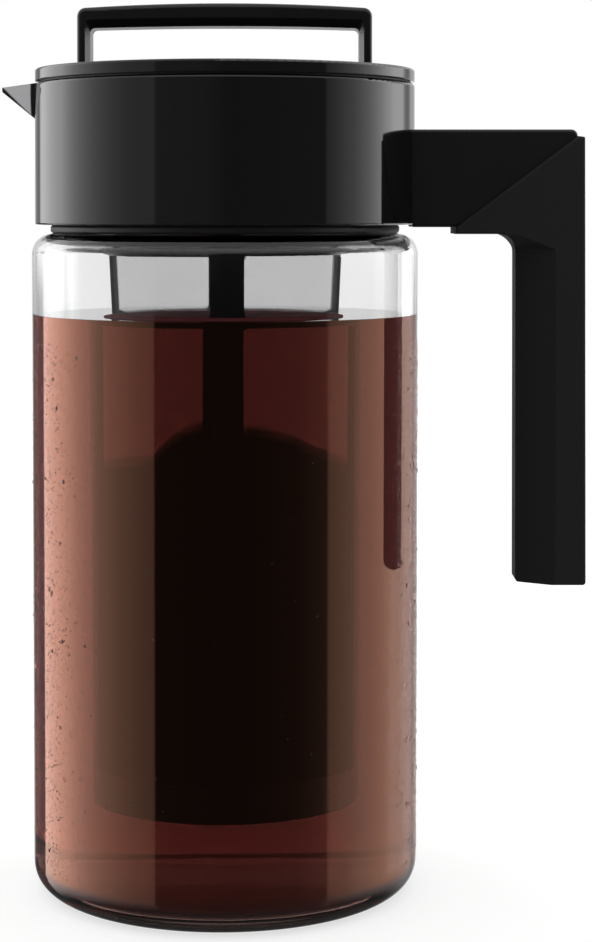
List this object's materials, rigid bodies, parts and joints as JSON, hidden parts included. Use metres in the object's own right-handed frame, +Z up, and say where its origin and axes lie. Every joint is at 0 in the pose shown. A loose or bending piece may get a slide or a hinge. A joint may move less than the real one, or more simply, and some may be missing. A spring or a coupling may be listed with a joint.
{
  "type": "cold brew coffee maker",
  "caption": "Clear cylindrical cold brew jug with black pouring collar, side handle, turn-and-lift lid with strap handle, and a long mesh infuser screwed into the lid.",
  "frame": {"origin": "centre of the jug's underside, on the jug's axis", "axes": "+Z up along the jug's axis, +X to the side handle, -X to the spout"},
  "size_m": [0.145, 0.0964, 0.2204],
  "materials": {
    "clear_plastic": "gloss",
    "collar_black": "gloss",
    "lid_black": "satin",
    "bail_black": "satin",
    "arm_black": "matte",
    "grip_rubber": "matte",
    "seal_silicone": "satin",
    "infuser_black": "satin",
    "nylon_mesh": "matte"
  },
  "bodies": {
    "jug": {"jug_body": "clear_plastic", "neck_seal": "seal_silicone", "neck_gasket": "seal_silicone", "pour_collar": "collar_black", "handle_arm": "arm_black", "handle_grip": "grip_rubber"},
    "lid_seals": {"lid_gasket": "seal_silicone", "plug_seal": "seal_silicone"},
    "lid": {"lid_cap": "collar_black", "lid_handle": "bail_black", "lid_plug": "lid_black", "infuser_socket": "lid_black"},
    "infuser_ring": {"infuser_seal": "seal_silicone"},
    "infuser": {"infuser_collar": "infuser_black", "infuser_frame": "infuser_black", "infuser_base": "infuser_black", "base_mesh": "nylon_mesh", "upper_mesh_1": "nylon_mesh", "upper_mesh_2": "nylon_mesh", "upper_mesh_3": "nylon_mesh", "upper_mesh_4": "nylon_mesh", "lower_mesh_1": "nylon_mesh", "lower_mesh_2": "nylon_mesh", "lower_mesh_3": "nylon_mesh", "lower_mesh_4": "nylon_mesh"}
  },
  "joints": [
    {"name": "lid_lift", "type": "slide", "parent": "jug", "child": "lid_seals", "axis": [0, 0, 1], "range_m": [0, 0.185]},
    {"name": "lid_turn", "type": "hinge", "parent": "lid_seals", "child": "lid", "pos_m": [0, 0, 0.2], "axis": [0, 0, -1], "range_deg": [0, 60]},
    {"name": "infuser_drop", "type": "slide", "parent": "lid", "child": "infuser_ring", "axis": [0, 0, -1], "range_m": [0, 0.0046]},
    {"name": "infuser_turn", "type": "hinge", "parent": "infuser_ring", "child": "infuser", "pos_m": [0, 0, 0.16], "axis": [0, 0, -1], "range_deg": [0, 110]}
  ],
  "couplings": [
    {"joint": "infuser_drop", "follows": "infuser_turn", "m_per_rad": 0.0023873}
  ]
}
